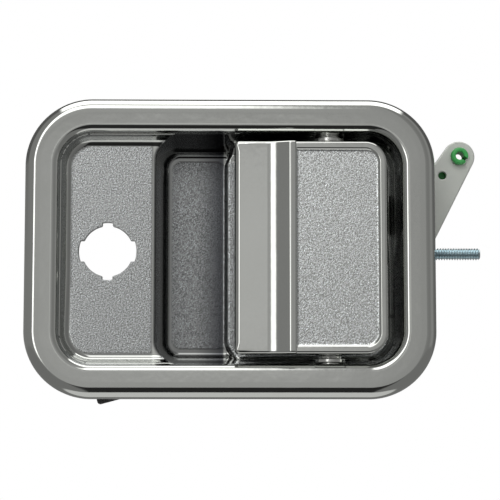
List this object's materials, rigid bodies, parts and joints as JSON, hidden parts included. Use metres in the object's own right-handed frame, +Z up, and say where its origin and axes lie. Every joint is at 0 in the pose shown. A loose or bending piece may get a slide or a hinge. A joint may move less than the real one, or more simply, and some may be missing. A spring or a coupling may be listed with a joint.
{
  "type": "flush paddle door handle",
  "caption": "Chromed flush door handle with a hinged pull paddle, finger pocket, lock cylinder hole, release lever and side retaining stud.",
  "frame": {"origin": "centre of the bezel's outline on the outer face of the door skin, where the cut-out is", "axes": "+X to the right seen from outside, along the bezel's long side; +Y into the door; +Z up"},
  "size_m": [0.1813, 0.0419, 0.1202],
  "materials": {
    "chrome": "chrome plate over a zinc die casting, polished, with fine-grained panels",
    "bright_steel": "bright turned steel",
    "clip_steel": "phosphated spring steel, dark",
    "spring_steel": "drawn spring wire",
    "dull_zinc": "dull zinc plate with handling marks",
    "zinc_plate": "bright bluish zinc plate",
    "green_nylon": "moulded nylon, slightly glossy",
    "natural_nylon": "moulded natural nylon",
    "rubber": "black rubber",
    "black_coating": "black dip coating, satin"
  },
  "bodies": {
    "housing": {"housing": "chrome", "gasket": "rubber", "stop_bumper": "rubber", "upper_pivot_bush": "bright_steel", "lower_pivot_bush": "bright_steel", "pivot_pin": "bright_steel", "pivot_pin_clip": "clip_steel", "lever_pivot_clip": "clip_steel", "lock_lever_clip": "clip_steel", "return_spring": "spring_steel", "lever_spring": "spring_steel", "lever_pivot": "zinc_plate", "lever_washer": "zinc_plate", "retaining_stud": "zinc_plate", "stud_lock_washer": "zinc_plate", "stud_jam_nut": "zinc_plate", "lock_lever_pivot": "zinc_plate", "lock_lever_washer": "zinc_plate"},
    "paddle": {"paddle": "chrome"},
    "release_lever": {"release_lever": "dull_zinc", "rod_clip": "green_nylon", "follower_pin": "zinc_plate", "follower_sleeve": "natural_nylon"},
    "lock_lever": {"lock_lever": "black_coating"}
  },
  "joints": [
    {"name": "paddle_pivot", "type": "hinge", "parent": "housing", "child": "paddle", "pos_m": [0.0393, 0.001, 0], "axis": [0, 0, 1], "range_deg": [0, 25], "stiffness_Nm_per_rad": 0.25, "springref_deg": -45.84, "deforming": ["return_spring"]},
    {"name": "release_lever_pivot", "type": "hinge", "parent": "housing", "child": "release_lever", "pos_m": [0.0606, 0.02275, -0.0135], "axis": [0, -1, 0], "range_deg": [0, 16], "deforming": ["lever_spring"]},
    {"name": "lock_lever_pivot", "type": "hinge", "parent": "housing", "child": "lock_lever", "pos_m": [-0.0525, 0.00825, -0.033], "axis": [0, 1, 0], "range_deg": [-20, 20]}
  ],
  "couplings": [
    {"joint": "release_lever_pivot", "follows": "paddle_pivot", "ratio": 0.62}
  ]
}
